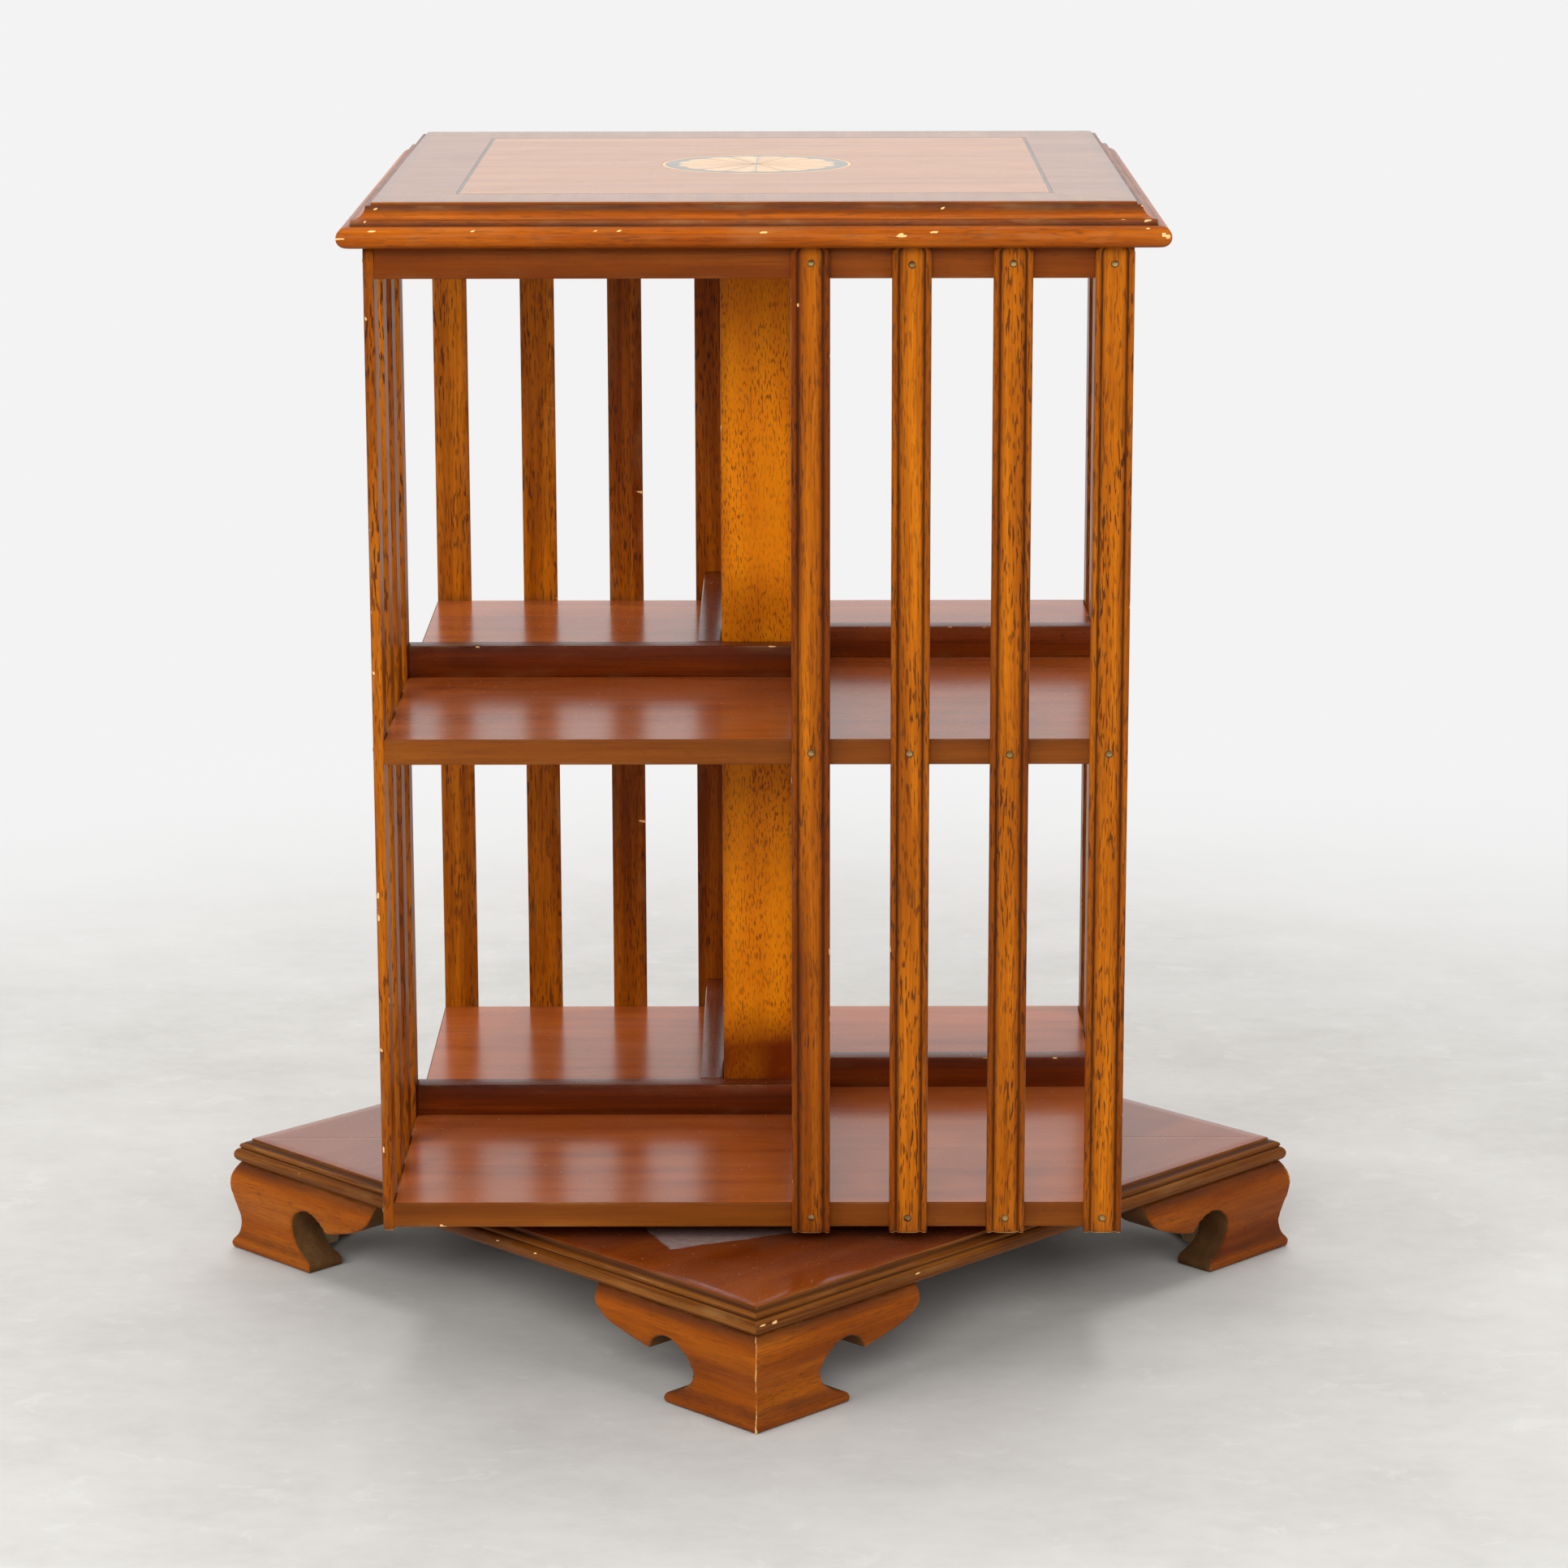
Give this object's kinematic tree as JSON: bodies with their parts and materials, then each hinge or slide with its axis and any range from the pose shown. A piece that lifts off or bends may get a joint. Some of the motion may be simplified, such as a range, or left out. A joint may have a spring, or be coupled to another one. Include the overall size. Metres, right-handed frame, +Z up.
{
  "type": "revolving bookcase",
  "caption": "Square two-tier revolving bookcase: slatted sides set in a pinwheel round a hollow column, turning on a post over a square plinth board with ogee bracket feet.",
  "frame": {"origin": "on the floor, on the vertical axis the case spins about", "axes": "+Z up along the spin axis; at rest the case faces -Y and the plinth board's corners point along X and Y"},
  "size_m": [0.7238, 0.7238, 0.738],
  "materials": {
    "base_wood": "satin lacquered red-brown wood, moulded edge worn pale at the arrises",
    "foot_wood": "satin lacquered orange-brown wood with pale worn mitres and toes",
    "unfinished_wood": "raw sawn softwood",
    "steel": "turned mild steel",
    "brass": "turned brass, lightly tarnished; also the small domed pins on the slats",
    "shelf_wood": "semi-gloss lacquered red-brown wood with a hazy reflection",
    "column_wood": "satin golden-orange wood with dark lengthwise pores",
    "dark_wood": "satin dark red-brown wood",
    "slat_wood": "satin golden-orange wood with dark streaks and pale chipped arrises",
    "top_wood": "semi-gloss veneered top, crossbanded, with an orange-brown bullnose",
    "light_inlay": "polished light and dark marquetry flush with the top",
    "dark_stringing": "dark stringing flush with the top"
  },
  "bodies": {
    "base": {"base_board": "base_wood", "foot_front_bracket_a": "foot_wood", "foot_front_bracket_b": "foot_wood", "foot_front_glue_block": "unfinished_wood", "foot_right_bracket_a": "foot_wood", "foot_right_bracket_b": "foot_wood", "foot_right_glue_block": "unfinished_wood", "foot_back_bracket_a": "foot_wood", "foot_back_bracket_b": "foot_wood", "foot_back_glue_block": "unfinished_wood", "foot_left_bracket_a": "foot_wood", "foot_left_bracket_b": "foot_wood", "foot_left_glue_block": "unfinished_wood", "spindle_post": "steel", "spindle_flange": "steel", "spindle_washer": "steel", "spindle_nut": "steel", "thrust_washer_lower": "brass"},
    "case": {"thrust_washer_upper": "brass", "guide_bush_lower": "brass", "guide_bush_upper": "brass", "guide_block_upper": "unfinished_wood", "bottom_shelf": "shelf_wood", "mid_shelf": "shelf_wood", "column_lower": "column_wood", "column_upper": "column_wood", "book_stop_lower_front": "dark_wood", "book_stop_lower_right": "dark_wood", "book_stop_lower_back": "dark_wood", "book_stop_lower_left": "dark_wood", "book_stop_upper_front": "dark_wood", "book_stop_upper_right": "dark_wood", "book_stop_upper_back": "dark_wood", "book_stop_upper_left": "dark_wood", "frieze_rail_front": "dark_wood", "frieze_rail_right": "dark_wood", "frieze_rail_back": "dark_wood", "frieze_rail_left": "dark_wood", "slat_front_1": "slat_wood", "slat_front_2": "slat_wood", "slat_front_3": "slat_wood", "slat_front_4": "slat_wood", "slat_right_1": "slat_wood", "slat_right_2": "slat_wood", "slat_right_3": "slat_wood", "slat_right_4": "slat_wood", "slat_back_1": "slat_wood", "slat_back_2": "slat_wood", "slat_back_3": "slat_wood", "slat_back_4": "slat_wood", "slat_left_1": "slat_wood", "slat_left_2": "slat_wood", "slat_left_3": "slat_wood", "slat_left_4": "slat_wood", "top_board": "top_wood", "inlay_patera": "light_inlay", "inlay_stringing": "dark_stringing"}
  },
  "joints": [
    {"name": "case_spin", "type": "hinge", "parent": "base", "child": "case", "pos_m": [0, 0, 0.09], "axis": [0, 0, 1], "continuous": true}
  ]
}
